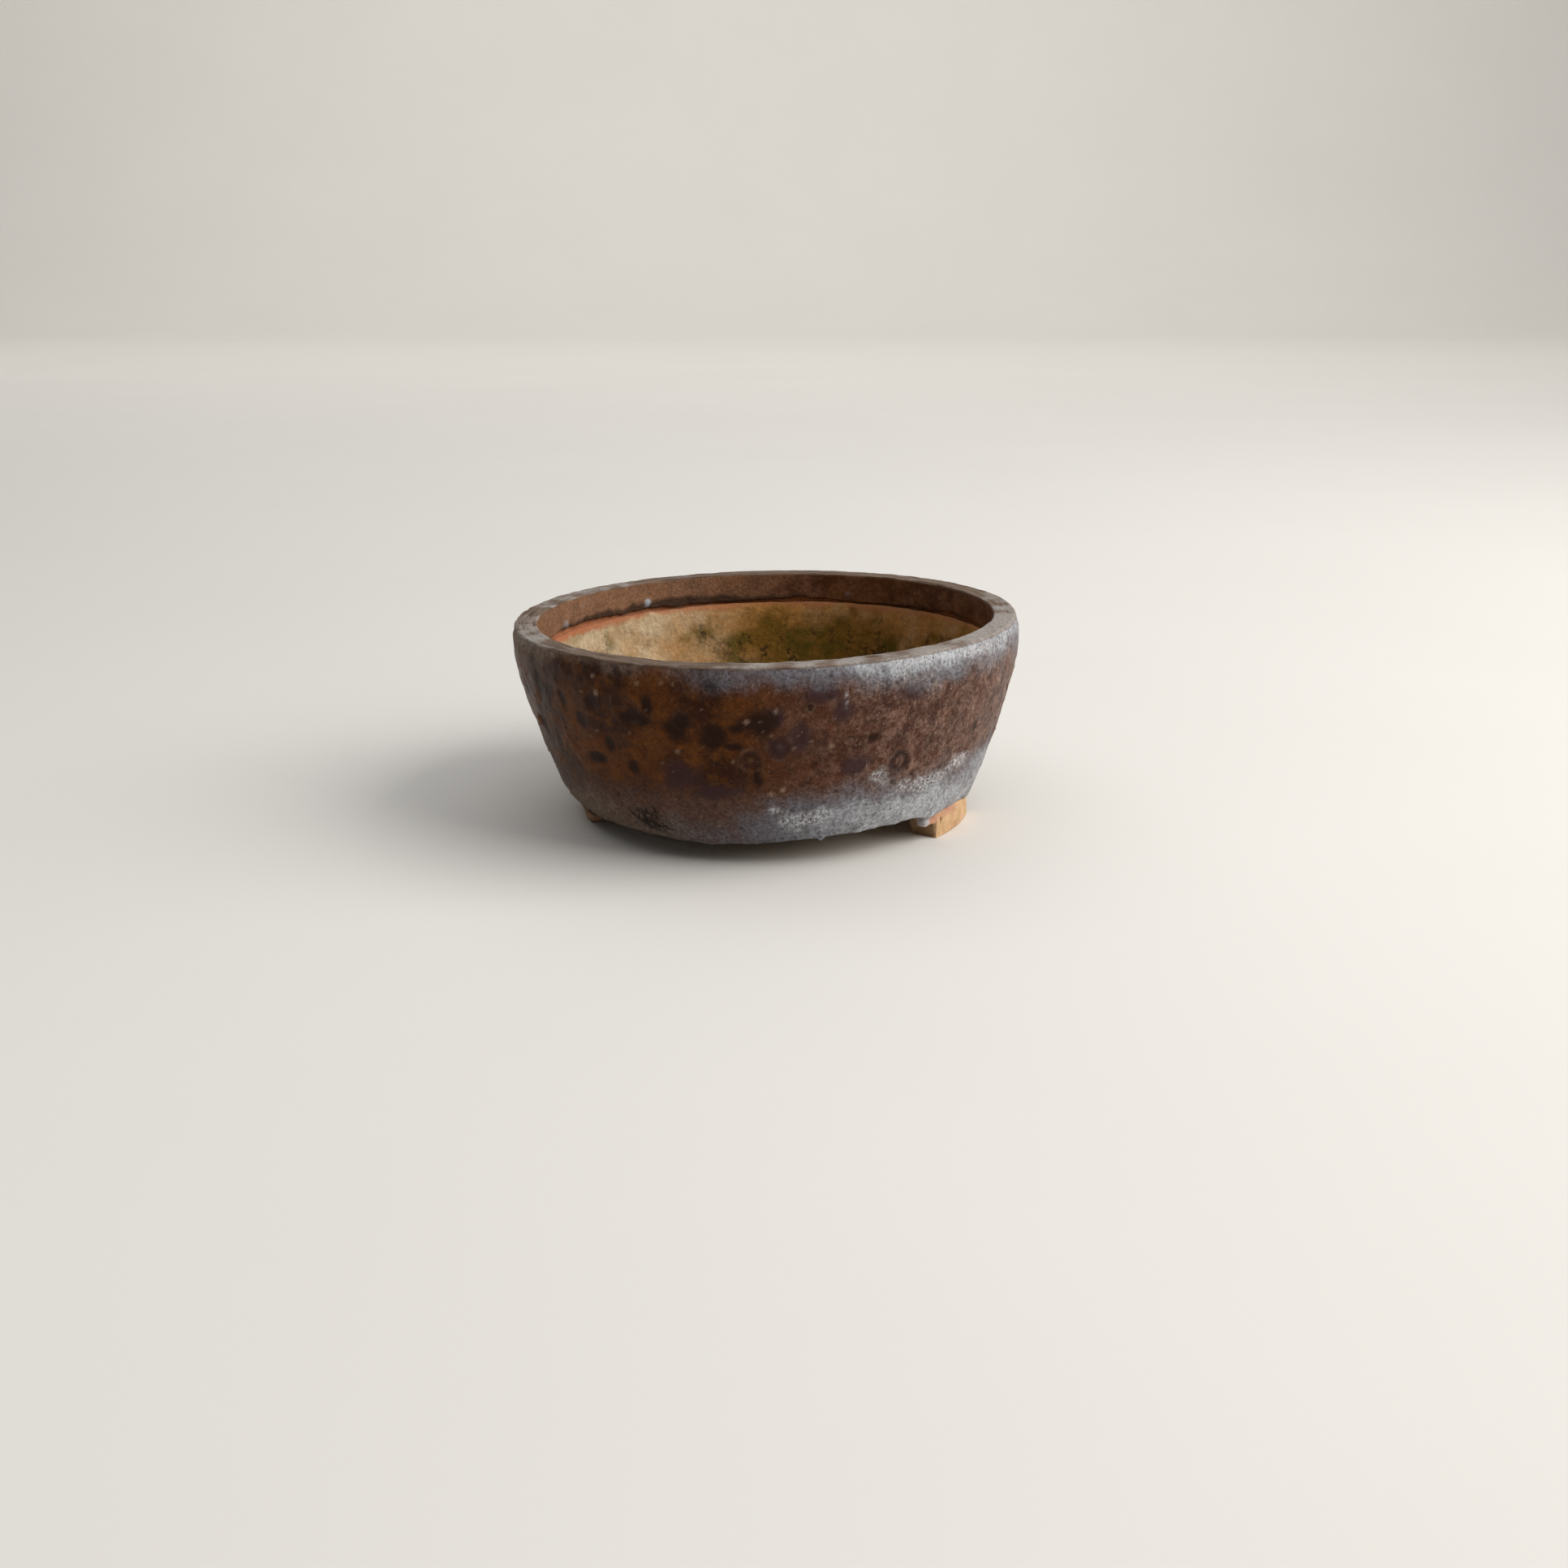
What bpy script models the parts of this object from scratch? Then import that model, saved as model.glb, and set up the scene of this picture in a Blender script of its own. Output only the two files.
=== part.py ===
"""Small round footed stoneware pot: a turned wall ring, a floor slab with a drain hole, three curved feet
and the glaze coat that runs over the outside, across the lip and a little way down the inside.

Frame: origin on the resting plane, under the middle of the pot; +Z up, -Y to the front, +X to the right.
Sizes are written in millimetres; MM turns them into metres. The pot is hand-made: its axis leans to the
left, and its lip is cut slightly out of square, so that the lip stands nearer level than the base does.
"""

import math

import bmesh
import bpy
from mathutils import Matrix, Vector

MM = 0.001

# Driving dimensions of the turned pot. Heights are measured along the pot's own axis.
BODY_HEIGHT = 27.0      # underside to the top of the lip
STAND_HEIGHT = 3.5      # resting plane to the underside, at the pot's axis
LEAN = 2.3              # degrees by which the right side of the underside stands high
LIP_OUT_OF_SQUARE = 1.1  # degrees taken off the right side of the lip
BASE_RADIUS = 30.9
LIP_RADIUS = 38.3
LIP_WIDTH = 3.6
WALL_THICKNESS = 4.0
FLOOR_THICKNESS = 4.0
FLOOR_JOINT_RADIUS = 26.0
FLOOR_FILLET = (1.6, 0.2)  # run and rise of the soft corner where the floor meets the wall
DRAIN_RADIUS = 5.5
DRAIN_CHAMFER = 0.5
GLAZE_THICKNESS = 0.4
GLAZE_BAND = 4.6        # how far the glaze runs down inside, below the lip
BELLY_HEIGHT = 24.8     # where the outside is widest
GAP = 0.2               # kept between pieces that are fused together
AROUND = 60             # facets around the pot

# Outside of the pot as (radius, height), from the base corner up to the lip's outer edge.
OUTSIDE = [
    (BASE_RADIUS, 0.0),
    (32.4, 2.2),
    (33.8, 5.4),
    (35.6, 10.8),
    (37.2, 16.2),
    (38.4, 21.6),
    (38.6, BELLY_HEIGHT),
    (LIP_RADIUS + 0.05, BODY_HEIGHT - 0.9),
]
LIP_ROUND = 0.8

SMOOTH_ANGLE = 35       # edges sharper than this many degrees stay crisp in the shading
BEVEL_ANGLE = 40

# Feet: azimuth of each one's heel in degrees from +X, and the way it runs from there.
FEET = {
    "foot_right": (-37.4, 1),
    "foot_left": (-158.5, -1),
    "foot_back": (66.0, 1),
}
FOOT_SPAN = 28.5        # degrees from heel to toe
FOOT_OUTER_RADIUS = 30.9
FOOT_INNER_RADIUS = 25.3
SOLE_OUTER_RADIUS = 30.5
SOLE_INNER_RADIUS = 26.6
FOOT_STEPS = 8
FOOT_EDGE = 0.35        # width of the rounding along the foot's edges
LOBE_SPAN = 6.0         # degrees by which the lobe overhangs the heel
LOBE_ROOT = 2.0         # degrees by which the lobe is buried in the foot
LOBE_OUTER_RADIUS = 30.8
LOBE_INNER_RADIUS = 28.9
LOBE_DEPTH = 0.44       # lobe's depth as a share of the foot's height
LOBE_EDGE = 0.5

FOOT_CLAY = {"color": (0.56, 0.36, 0.18), "roughness": 0.85}
BODY_CLAY = {"color": (0.30, 0.22, 0.10), "roughness": 0.9}
FLOOR_CLAY = {"color": (0.20, 0.15, 0.08), "roughness": 0.95}
IRON_GLAZE = {"color": (0.10, 0.045, 0.025), "roughness": 0.45}


def clear_scene():
    for old in list(bpy.data.objects):
        bpy.data.objects.remove(old)


def make_material(name, look):
    material = bpy.data.materials.new(name)
    material.use_nodes = True
    shader = material.node_tree.nodes["Principled BSDF"]
    shader.inputs["Base Color"].default_value = (*look["color"], 1.0)
    shader.inputs["Roughness"].default_value = look["roughness"]
    shader.inputs["Metallic"].default_value = 0.0
    return material


def smooth_path(points, spans=2):
    """Catmull-Rom curve through the points, with this many straight spans between each two."""
    knots = [Vector(point) for point in points]
    padded = [2 * knots[0] - knots[1], *knots, 2 * knots[-1] - knots[-2]]
    path = []
    for before, start, end, after in zip(padded, padded[1:], padded[2:], padded[3:]):
        for span in range(spans):
            t = span / spans
            linear = end - before
            square = 2 * before - 5 * start + 4 * end - after
            cubic = 3 * (start - end) + after - before
            path.append(0.5 * (2 * start + linear * t + square * t**2 + cubic * t**3))
    return [*path, knots[-1]]


def arc(centre, radius, first, last, steps):
    """Points on an arc, from one angle to another in degrees."""
    angles = [math.radians(first + (last - first) * step / steps) for step in range(steps + 1)]
    return [Vector(centre) + radius * Vector((math.cos(angle), math.sin(angle))) for angle in angles]


def offset(path, distance):
    """The path moved to its left: along the skin, which runs up and over, that is into the clay."""
    moved = []
    for i, point in enumerate(path):
        along = (path[min(i + 1, len(path) - 1)] - path[max(i - 1, 0)]).normalized()
        moved.append(point + distance * Vector((-along.y, along.x)))
    return moved


def skin():
    """Outer face of the glaze: up the outside, over the lip and down to the end of the inner band."""
    round_height = BODY_HEIGHT - LIP_ROUND
    inner_radius = LIP_RADIUS - LIP_WIDTH
    outer_edge = arc((LIP_RADIUS - LIP_ROUND, round_height), LIP_ROUND, 30, 90, 2)
    inner_edge = arc((inner_radius + LIP_ROUND, round_height), LIP_ROUND, 90, 180, 3)
    band_end = Vector((inner_radius, BODY_HEIGHT - GLAZE_BAND))
    return [*smooth_path(OUTSIDE), *outer_edge, *inner_edge, band_end]


def bare_inside():
    """Bare clay inside the wall, from just under the glaze band down to the floor's joint."""
    top_height = BODY_HEIGHT - GLAZE_BAND - GAP
    top = (LIP_RADIUS - LIP_WIDTH + GLAZE_THICKNESS + GAP, top_height)
    beside = [point for point in reversed(OUTSIDE) if FLOOR_THICKNESS < point[1] < top_height]
    depths = [(radius - WALL_THICKNESS, height) for radius, height in beside]
    corner = (FLOOR_JOINT_RADIUS + FLOOR_FILLET[0], FLOOR_THICKNESS + FLOOR_FILLET[1])
    return [*smooth_path([top, *depths, corner]), Vector((FLOOR_JOINT_RADIUS, FLOOR_THICKNESS))]


def out_of_square(point):
    """Shear of the pot's heights that lowers the right side of the lip and leaves the underside flat."""
    slope = math.tan(math.radians(LIP_OUT_OF_SQUARE))
    return Vector((point.x, point.y, point.z * (1 - slope * point.x / BODY_HEIGHT)))


def turned(name, outline, material, parent):
    """Solid of revolution from a closed outline of (radius, height) in millimetres."""
    bm = bmesh.new()
    sections = []
    for facet in range(AROUND):
        turn = Matrix.Rotation(2 * math.pi * facet / AROUND, 3, "Z")
        points = [turn @ Vector((radius, 0, height)) for radius, height in outline]
        sections.append([bm.verts.new(out_of_square(point) * MM) for point in points])
    for section, following in zip(sections, sections[1:] + sections[:1]):
        for i in range(len(outline)):
            j = (i + 1) % len(outline)
            bm.faces.new((section[i], following[i], following[j], section[j]))
    return add_object(name, bm, material, parent)


def add_object(name, bm, material, parent=None):
    bmesh.ops.recalc_face_normals(bm, faces=bm.faces)
    mesh = bpy.data.meshes.new(name)
    bm.to_mesh(mesh)
    bm.free()
    mesh.materials.append(material)
    mesh.shade_smooth()
    mesh.set_sharp_from_angle(angle=math.radians(SMOOTH_ANGLE))
    piece = bpy.data.objects.new(name, mesh)
    piece.parent = parent
    bpy.context.collection.objects.link(piece)
    return piece


def axis_offset():
    """How far right of the origin the axis meets the underside, so that the belly is centred."""
    return BELLY_HEIGHT * math.sin(math.radians(LEAN))


def leaning_axis():
    """Empty that carries the turned pieces: it lifts them off the resting plane and leans them."""
    axis = bpy.data.objects.new("pot_axis", None)
    axis.location = Vector((axis_offset(), 0, STAND_HEIGHT)) * MM
    axis.rotation_euler = (0, -math.radians(LEAN), 0)
    bpy.context.collection.objects.link(axis)
    return axis


def foot_top(x):
    """Height of the pot's underside above the resting plane, less the gap to the foot."""
    return STAND_HEIGHT + (x - axis_offset()) * math.tan(math.radians(LEAN)) - GAP


def swept_block(name, material, first, last, steps, section, bottom_share):
    """Curved block around the pot's foot ring, from one azimuth to another.

    section holds the outer and inner radius of the top, then of the bottom. The top follows the pot's
    underside; the bottom stands at a share of the top's height.
    """
    top_outer, top_inner, bottom_outer, bottom_inner = section
    bm = bmesh.new()
    loops = []
    for step in range(steps + 1):
        azimuth = math.radians(first + (last - first) * step / steps)
        loop = []
        for radius, share in (
            (top_outer, 1.0),
            (bottom_outer, bottom_share),
            (bottom_inner, bottom_share),
            (top_inner, 1.0),
        ):
            x = axis_offset() + radius * math.cos(azimuth)
            y = radius * math.sin(azimuth)
            loop.append(bm.verts.new(Vector((x, y, share * foot_top(x))) * MM))
        loops.append(loop)
    for loop, following in zip(loops, loops[1:]):
        for i in range(4):
            j = (i + 1) % 4
            bm.faces.new((loop[i], following[i], following[j], loop[j]))
    bm.faces.new(loops[0])
    bm.faces.new(loops[-1])
    return add_object(name, bm, material)


def add_bevel(piece, width):
    bevel = piece.modifiers.new("rounded_edges", "BEVEL")
    bevel.width = width * MM
    bevel.segments = 2
    bevel.limit_method = "ANGLE"
    bevel.angle_limit = math.radians(BEVEL_ANGLE)


def make_foot(name, heel, way, material):
    """Foot that follows the edge of the underside, with a small lobe of clay overhanging its heel."""
    block = (FOOT_OUTER_RADIUS, FOOT_INNER_RADIUS, SOLE_OUTER_RADIUS, SOLE_INNER_RADIUS)
    foot = swept_block(name, material, heel, heel + way * FOOT_SPAN, FOOT_STEPS, block, 0.0)
    add_bevel(foot, FOOT_EDGE)

    lobe_section = (LOBE_OUTER_RADIUS, LOBE_INNER_RADIUS, LOBE_OUTER_RADIUS - 0.1, LOBE_INNER_RADIUS)
    lobe_ends = (heel - way * LOBE_SPAN, heel + way * LOBE_ROOT)
    lobe = swept_block(name + "_lobe_shape", material, *lobe_ends, 3, lobe_section, 1 - LOBE_DEPTH)
    add_bevel(lobe, LOBE_EDGE)
    lobe.hide_render = True
    lobe.display_type = "WIRE"

    union = foot.modifiers.new("lobe", "BOOLEAN")
    union.operation = "UNION"
    union.solver = "EXACT"
    union.object = lobe


def make_glaze_coat(parent):
    face = skin()
    outline = [*face, *reversed(offset(face, GLAZE_THICKNESS))]
    turned("glaze_coat", outline, make_material("iron_glaze", IRON_GLAZE), parent)


def make_wall(parent):
    clay_face = offset(skin(), GLAZE_THICKNESS + GAP)
    joint = [Vector((FLOOR_JOINT_RADIUS, FLOOR_THICKNESS)), Vector((FLOOR_JOINT_RADIUS, 0))]
    outline = [*clay_face[:-1], *bare_inside()[:-1], *joint]
    turned("wall", outline, make_material("body_clay", BODY_CLAY), parent)


def make_base_slab(parent):
    edge = FLOOR_JOINT_RADIUS - GAP
    outline = [
        (edge, 0.0),
        (edge, FLOOR_THICKNESS),
        (DRAIN_RADIUS + DRAIN_CHAMFER, FLOOR_THICKNESS),
        (DRAIN_RADIUS, FLOOR_THICKNESS - DRAIN_CHAMFER),
        (DRAIN_RADIUS, DRAIN_CHAMFER),
        (DRAIN_RADIUS + DRAIN_CHAMFER, 0.0),
    ]
    turned("base_slab", outline, make_material("floor_clay", FLOOR_CLAY), parent)


clear_scene()
pot_axis = leaning_axis()
make_wall(pot_axis)
make_base_slab(pot_axis)
make_glaze_coat(pot_axis)
foot_clay = make_material("foot_clay", FOOT_CLAY)
for foot_name, (heel_azimuth, direction) in FEET.items():
    make_foot(foot_name, heel_azimuth, direction, foot_clay)
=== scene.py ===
import math

import bmesh
import bpy
import numpy as np
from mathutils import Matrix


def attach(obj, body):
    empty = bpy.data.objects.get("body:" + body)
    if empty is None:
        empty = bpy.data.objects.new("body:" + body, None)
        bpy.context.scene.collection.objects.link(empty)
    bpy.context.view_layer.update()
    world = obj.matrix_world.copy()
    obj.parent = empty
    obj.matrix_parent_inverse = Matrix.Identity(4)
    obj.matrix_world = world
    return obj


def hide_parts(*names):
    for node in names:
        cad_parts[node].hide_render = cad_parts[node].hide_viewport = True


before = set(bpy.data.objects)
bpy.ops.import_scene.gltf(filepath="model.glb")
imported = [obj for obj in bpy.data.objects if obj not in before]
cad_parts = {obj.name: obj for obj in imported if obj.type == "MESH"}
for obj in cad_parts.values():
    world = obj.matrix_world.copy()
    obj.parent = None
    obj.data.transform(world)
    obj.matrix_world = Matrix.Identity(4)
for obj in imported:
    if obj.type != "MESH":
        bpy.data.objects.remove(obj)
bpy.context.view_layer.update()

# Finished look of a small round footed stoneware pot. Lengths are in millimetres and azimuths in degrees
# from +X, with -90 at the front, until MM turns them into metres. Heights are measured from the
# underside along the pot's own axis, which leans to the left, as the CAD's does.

MM = 0.001

# The pot, as in the CAD.
BODY_HEIGHT = 27.0
BELLY_RADIUS = 38.6
BELLY_HEIGHT = 24.8
STAND_HEIGHT = 3.5
LEAN = 2.3
LIP_OUT_OF_SQUARE = 1.1
BASE_RADIUS = 30.9
LIP_RADIUS = 38.3
LIP_WIDTH = 3.6
LIP_ROUND = 0.4
WALL_THICKNESS = 4.0
FLOOR_THICKNESS = 4.0
FLOOR_FILLET = (1.6, 0.2)  # from the top of the floor's joint out and up to where the inside wall starts
FLOOR_JOINT_RADIUS = 26.0
DRAIN_RADIUS = 5.5
DRAIN_ROUND = 0.7
GLAZE_THICKNESS = 0.4
GLAZE_BAND = 4.6
GAP = 0.2
OUTSIDE = [
    (BASE_RADIUS, 0.0),
    (32.4, 2.2),
    (33.8, 5.4),
    (35.6, 10.8),
    (37.2, 16.2),
    (38.4, 21.6),
    (BELLY_RADIUS, BELLY_HEIGHT),
    (LIP_RADIUS, BODY_HEIGHT - LIP_ROUND),
]
BELLY_LIMIT = BELLY_RADIUS - 0.02  # no lump in the glaze stands out past this
BAND_END = BODY_HEIGHT - GLAZE_BAND
INNER_RADIUS = LIP_RADIUS - LIP_WIDTH
AXIS_X = BELLY_HEIGHT * math.sin(math.radians(LEAN))

# Feet: azimuth of the heel, the way each runs from it, outer and inner radius at the top and at the sole,
# how much the clay is darkened with painted shade, and the radius of the glaze bead on the lobe's tip.
FEET = {
    "foot_right": (-37.6, 1, (30.75, 25.1, 30.7, 26.3), 0.0, 0.85),
    "foot_left": (-158.0, -1, (30.5, 25.3, 29.7, 26.2), 0.5, 0.0),
    "foot_back": (66.0, 1, (30.6, 25.3, 30.4, 26.6), 0.4, 0.0),
}
FOOT_SPAN = 28.0
LOBE_SPAN = 5.6
LOBE_WIDTH = 1.8
LOBE_DEPTH = 0.44
BEAD_PLACE = (1.0, 0.7, 0.95)  # degrees back from the lobe's tip, depth behind its face and below its top
VOXEL = 0.13
SMOOTHINGS = 14
SWEEP_STEPS = 28
LOBE_STEPS = 8
CRACKED_FOOT = "foot_right"
CRACK = (-35.6, 2.6, 0.7)  # its azimuth, height and half length

# Marks in the glaze, each with its azimuth, height, half width and half height.
DARK_SPOTS = [
    (-108.6, 18.6, 2.1, 2.4),
    (-101.0, 17.2, 2.0, 2.1),
    (-91.8, 19.0, 3.4, 1.9),
    (-95.6, 18.4, 1.4, 0.9),
    (-121.6, 11.6, 1.0, 1.2),
    (-127.0, 14.8, 1.0, 1.3),
    (-132.5, 11.9, 2.0, 0.9),
    (-129.7, 20.8, 1.4, 1.2),
    (-134.5, 17.6, 1.1, 1.4),
    (-149.0, 21.4, 0.9, 2.2),
    (-139.7, 20.4, 0.9, 1.6),
    (-145.0, 20.8, 0.7, 1.4),
    (-118.0, 19.2, 2.4, 1.2),
    (-115.0, 21.0, 1.0, 1.8),
    (-92.4, 10.6, 0.8, 1.5),
    (-101.0, 24.4, 1.0, 0.8),
    (-66.7, 15.6, 0.8, 0.7),
    (-34.3, 13.5, 0.5, 1.3),
    (-97.5, 15.6, 1.4, 0.6),
    (-153.0, 15.0, 0.8, 2.2),
    (-160.0, 19.0, 1.2, 2.0),
]
PLUM_PATCHES = [
    (-109.6, 11.2, 2.9, 2.4),
    (-77.3, 23.0, 3.2, 1.6),
    (-88.0, 19.6, 1.6, 1.6),
    (-83.5, 16.6, 2.0, 2.6),
    (-102.0, 8.6, 3.0, 1.2),
    (-87.5, 15.3, 1.7, 1.4),
    (-70.0, 11.5, 2.2, 1.6),
    (-47.0, 23.4, 4.0, 1.4),
    (-58.0, 21.8, 2.2, 1.5),
    (-74.0, 20.5, 1.6, 2.0),
]
# Burst blisters: azimuth, height, radius, and how strongly each shows.
RINGS = [
    (-59.1, 11.1, 2.0, 1.0),
    (-93.5, 13.6, 1.55, 0.8),
    (-64.8, 23.3, 1.1, 0.9),
    (-80.7, 21.1, 0.55, 1.0),
    (-78.9, 16.6, 1.7, 0.45),
    (-87.2, 15.4, 1.8, 0.5),
    (-45.0, 16.3, 1.0, 0.7),
    (-120.3, 20.8, 2.3, 0.4),
    (-107.6, 19.4, 1.2, 0.4),
    (-51.5, 13.5, 0.8, 0.4),
]
# Beads that stand out of the glaze: azimuth, height and radius.
BEADS = [
    (-93.9, 19.4, 0.42),
    (-87.9, 20.8, 0.38),
    (-76.4, 15.2, 0.42),
    (-80.6, 16.1, 0.28),
    (-97.2, 13.4, 0.3),
    (-86.9, 8.8, 0.45),
    (-89.5, 8.3, 0.4),
    (-77.1, 7.2, 0.35),
    (-127.4, 22.2, 0.5),
    (-129.8, 16.4, 0.3),
    (-109.4, 14.7, 0.36),
    (-116.6, 24.3, 0.36),
    (-128.0, 24.5, 0.36),
    (-67.5, 11.0, 0.35),
    (-51.6, 9.0, 0.32),
    (-156.8, 14.6, 0.7),
    (-52.0, 22.2, 0.4),
]
# Beads and a frosted spot on the inner band: azimuth, height, radius and how pale each is.
BAND_BEADS = [
    (125.9, 23.5, 0.55, 1.0),
    (159.0, 23.0, 0.7, 0.35),
    (67.0, 23.5, 0.5, 0.15),
    (35.0, 24.6, 0.4, 0.1),
    (150.0, 25.0, 0.4, 0.1),
]
# Where the pale bloom reaches: azimuth, depth below the lip, height above the base, and strength.
BLOOM = [
    (-180, 4.0, 8.0, 0.90),
    (-152, 3.6, 8.0, 0.90),
    (-138, 2.8, 7.5, 0.74),
    (-124, 2.9, 6.5, 0.60),
    (-104, 3.8, 4.0, 0.52),
    (-92, 4.5, 6.0, 0.68),
    (-80, 4.8, 8.5, 0.84),
    (-62, 6.4, 9.5, 0.95),
    (-45, 7.0, 9.5, 1.00),
    (-25, 7.5, 9.5, 0.90),
    (0, 6.0, 9.0, 0.80),
    (45, 5.0, 7.0, 0.70),
    (90, 4.0, 6.0, 0.60),
    (135, 4.5, 8.0, 0.70),
    (180, 4.0, 8.0, 0.90),
]
# Crazed, gritty places in the bloom: azimuth, height, half width and half height.
CRACKLE = [
    (-89.0, 5.6, 0.7, 0.6),
    (-82.0, 3.6, 4.2, 1.5),
    (-76.8, 4.0, 1.6, 1.2),
    (-50.0, 6.6, 4.4, 1.3),
    (-38.0, 8.2, 3.0, 1.4),
    (-64.0, 9.5, 1.8, 1.2),
    (-60.2, 24.6, 0.4, 1.9),
    (-73.1, 22.2, 0.4, 1.5),
    (-40.0, 25.6, 4.0, 0.8),
    (-56.0, 26.2, 6.0, 0.5),
]
# Half the arc, centred on the back, over which further spots and rings are scattered.
BACK_SPREAD = 105
DUST_AND_SHEEN_SIDE = -32  # azimuth where the glaze is dustiest and its painted sheen strongest
# How far the glaze's lower edge hangs below the underside: azimuth and drop. It climbs beside the left
# foot, sags in front, drips once, and runs down over the right foot.
LOWER_EDGE = [
    (-180, -0.2),
    (-160, -0.45),
    (-138, -0.42),
    (-120, 0.0),
    (-105, 0.45),
    (-92, 0.22),
    (-78.3, 0.05),
    (-77.0, 0.55),
    (-75.6, 0.0),
    (-58, -0.2),
    (-47, 0.0),
    (-42, 0.7),
    (-35, 0.35),
    (-26, 0.5),
    (-16, 1.1),
    (-6, 1.1),
    (4, 0.2),
    (60, 0.1),
    (80, 0.6),
    (95, 0.0),
    (180, -0.2),
]

# How finely things are divided.
GLAZE_COLUMNS = 640
WALL_COLUMNS = 480
FLOOR_COLUMNS = 300
ROW_STEP = 0.3
BACK_ROW_STEP = 1.2
LATTICE = 64
ROOT_STEP = 0.16
ROOT_SIDES = 6
ROOT_RADIUS = 32.5  # of the outside where the roots are stuck


# ---------------------------------------------------------------- shapes


def smoothstep(low, high, value):
    """Smooth step from 0 at low to 1 at high."""
    t = np.clip((value - low) / (high - low), 0, 1)
    return t * t * (3 - 2 * t)


def value_noise(points, cell, seed):
    """Smooth noise from -1 to 1 at points, with features about one cell across."""
    lattice = np.random.default_rng(seed).uniform(-1, 1, (LATTICE,) * 3)
    scaled = points / cell
    corner = np.floor(scaled).astype(int)
    t = scaled - corner
    t = t * t * (3 - 2 * t)
    total = np.zeros(points.shape[:-1])
    for step in np.ndindex(2, 2, 2):
        weight = np.where(np.array(step) == 1, t, 1 - t).prod(axis=-1)
        x, y, z = np.moveaxis((corner + step) % LATTICE, -1, 0)
        total += weight * lattice[x, y, z]
    return total


def fractal(points, cell, seed, octaves=3):
    return sum(value_noise(points, cell / 2**k, seed + k) / 2**k for k in range(octaves))


def pot_points(radius, azimuth, height):
    """Points in the shared frame, in millimetres, from the pot's own cylindrical coordinates."""
    x, y = radius * np.cos(azimuth), radius * np.sin(azimuth)
    slope, lean = math.tan(math.radians(LIP_OUT_OF_SQUARE)), math.radians(LEAN)
    z = height * (1 - slope * x / BODY_HEIGHT)
    return np.stack(
        [
            AXIS_X + x * math.cos(lean) - z * math.sin(lean),
            y,
            STAND_HEIGHT + x * math.sin(lean) + z * math.cos(lean),
        ],
        axis=-1,
    )


def smooth_path(points, spans=8):
    """Catmull-Rom curve through the points."""
    knots = np.array(points, float)
    padded = np.vstack([2 * knots[0] - knots[1], knots, 2 * knots[-1] - knots[-2]])
    path = []
    for before, start, end, after in zip(padded, padded[1:], padded[2:], padded[3:]):
        for t in np.arange(spans) / spans:
            linear = end - before
            square = 2 * before - 5 * start + 4 * end - after
            cubic = 3 * (start - end) + after - before
            path.append(0.5 * (2 * start + linear * t + square * t**2 + cubic * t**3))
    return np.array([*path, knots[-1]])


def arc(centre, radius, first, last, steps=6):
    """Points of an arc between two angles in degrees."""
    angles = np.radians(np.linspace(first, last, steps + 1))
    return np.array(centre) + radius * np.stack([np.cos(angles), np.sin(angles)], axis=-1)


def resample(path, step):
    """The path with points every step, and its first and last point kept."""
    lengths = np.concatenate([[0], np.cumsum(np.linalg.norm(np.diff(path, axis=0), axis=1))])
    wanted = np.linspace(0, lengths[-1], max(2, int(round(lengths[-1] / step)) + 1))
    return np.stack([np.interp(wanted, lengths, path[:, k]) for k in (0, 1)], axis=-1)


def left_normals(path):
    """Unit normals on the left of the path's direction."""
    along = np.gradient(path, axis=0)
    along /= np.linalg.norm(along, axis=1, keepdims=True)
    return np.stack([-along[:, 1], along[:, 0]], axis=-1)


class Skin:
    """A closed skin turned around the pot's axis, as a grid of rows and columns."""

    def __init__(self, outline, columns):
        self.azimuth = np.linspace(-math.pi, math.pi, columns, endpoint=False)[None, :]
        self.radius = np.repeat(outline[:, :1], columns, axis=1)
        self.height = np.repeat(outline[:, 1:], columns, axis=1)
        closed = np.vstack([outline[-1:], outline, outline[:1]])
        self.normals = left_normals(closed)[1:-1]

    def places(self):
        """Points on the skin with the lean left out, for noise."""
        azimuth = np.broadcast_to(self.azimuth, self.radius.shape)
        return np.stack([self.radius * np.cos(azimuth), self.radius * np.sin(azimuth), self.height], axis=-1)

    def push(self, distance):
        """Moves the skin out of the solid by a distance at each point."""
        self.radius = self.radius - distance * self.normals[:, :1]
        self.height = self.height - distance * self.normals[:, 1:]

    def arc_from(self, azimuth):
        """Distance around the pot from an azimuth in degrees, signed."""
        turn = (self.azimuth - math.radians(azimuth) + math.pi) % (2 * math.pi) - math.pi
        return turn * self.radius

    def reach(self, azimuth, height, wide, tall):
        """Distance from a mark's middle, 1 at its edge."""
        return np.hypot(self.arc_from(azimuth) / wide, (self.height - height) / tall)

    def piece(self, name):
        points = pot_points(self.radius, self.azimuth, self.height) * MM
        rows, columns = self.radius.shape
        index = np.arange(rows * columns).reshape(rows, columns)
        right, up = np.roll(index, -1, axis=1), np.roll(index, -1, axis=0)
        corner = np.roll(right, -1, axis=0)
        faces = np.stack([index, right, corner, up], axis=-1).reshape(-1, 4)
        return mesh_piece(name, points.reshape(-1, 3), faces)


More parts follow.
